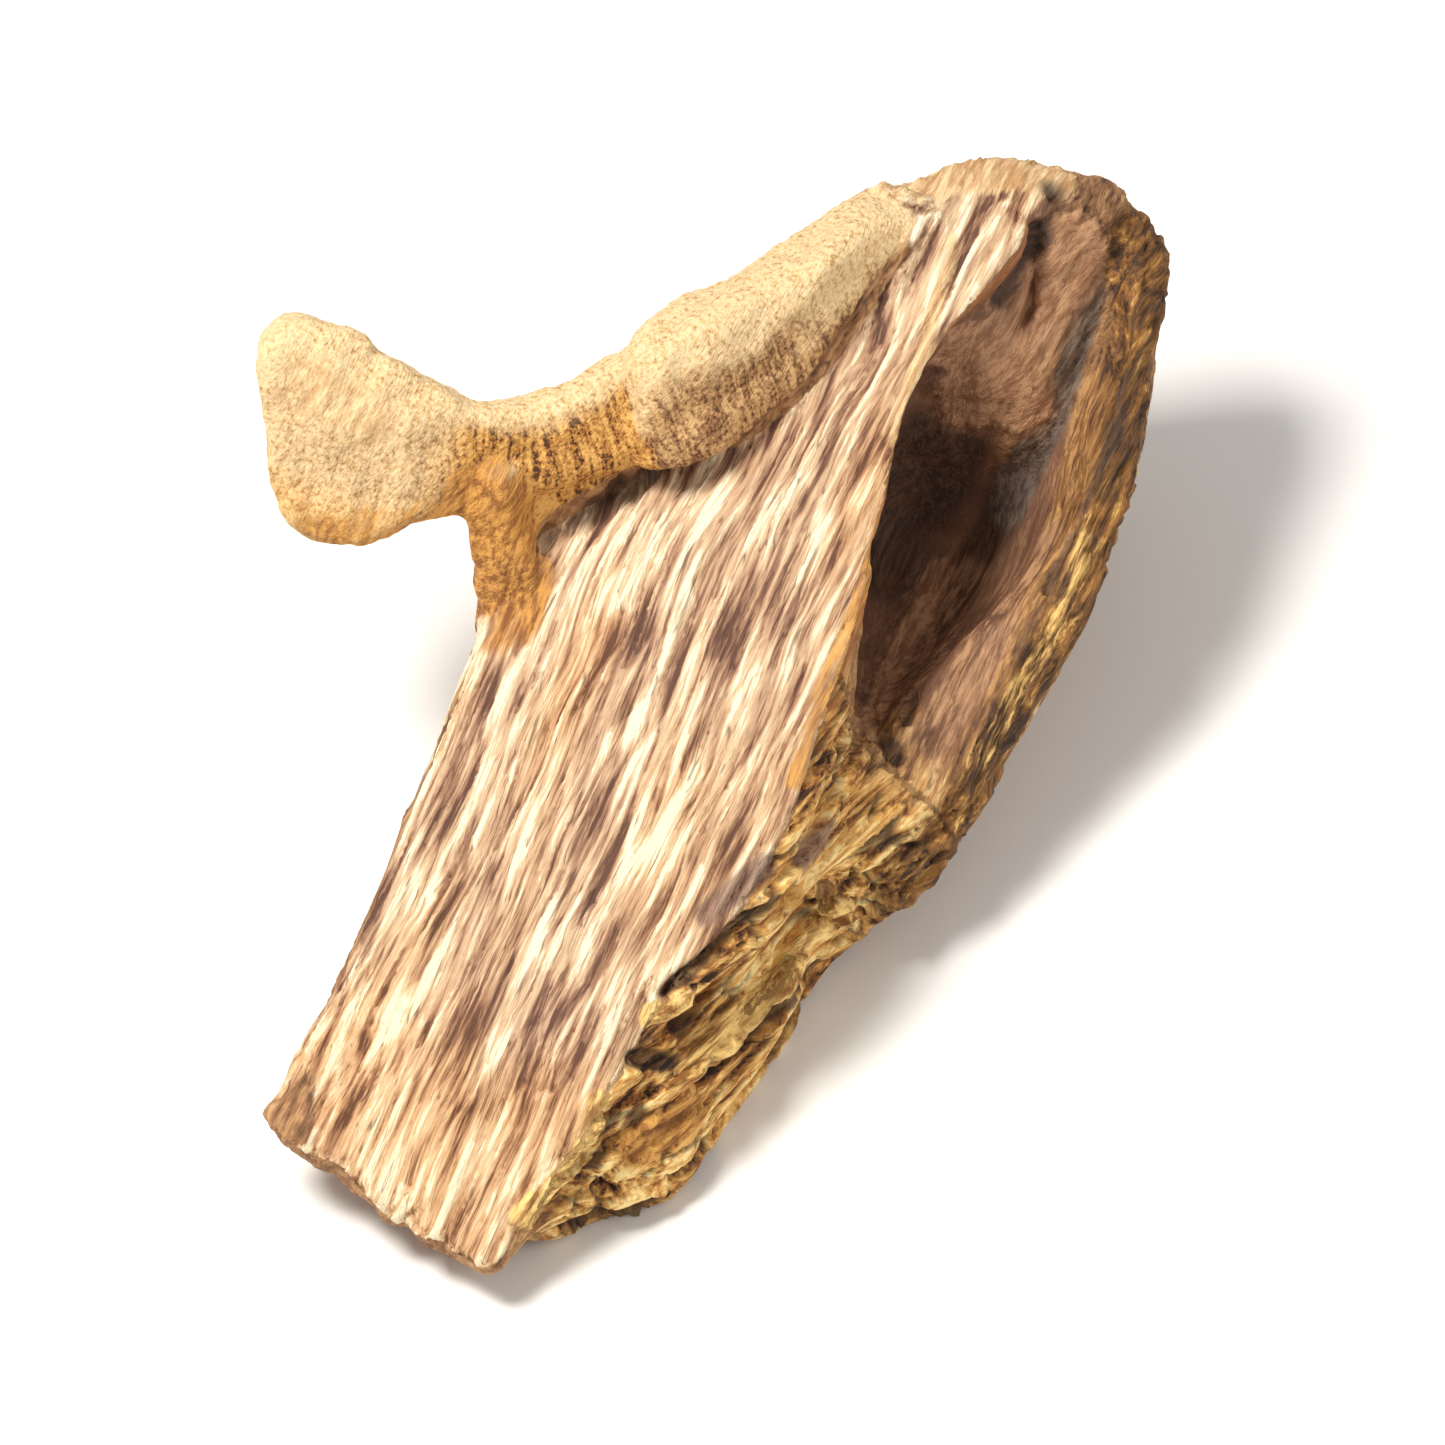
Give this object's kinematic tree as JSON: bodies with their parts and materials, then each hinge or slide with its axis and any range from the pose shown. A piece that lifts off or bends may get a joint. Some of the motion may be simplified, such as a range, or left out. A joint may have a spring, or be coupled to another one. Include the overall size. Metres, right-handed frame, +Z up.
{
  "type": "agarwood piece",
  "caption": "Hewn splinter of resin-streaked agarwood: a sloping streaked plate, hollowed beneath one edge up to a thin rim, with a pale curved horn over its far end.",
  "frame": {"origin": "on the floor, under the middle of the wood's length and width", "axes": "+Z up from the hewn foot, +Y along the grain from the thin front end to the far end, +X from the horn's side towards the hollow's rim"},
  "size_m": [0.0616, 0.1, 0.0414],
  "materials": {
    "agarwood": "dry, weathered and hewn: cream and purplish-brown streaks along the grain, tan on the horn, dark resin in the hollow"
  },
  "bodies": {
    "root": {"agarwood_piece": "agarwood"}
  },
  "joints": []
}
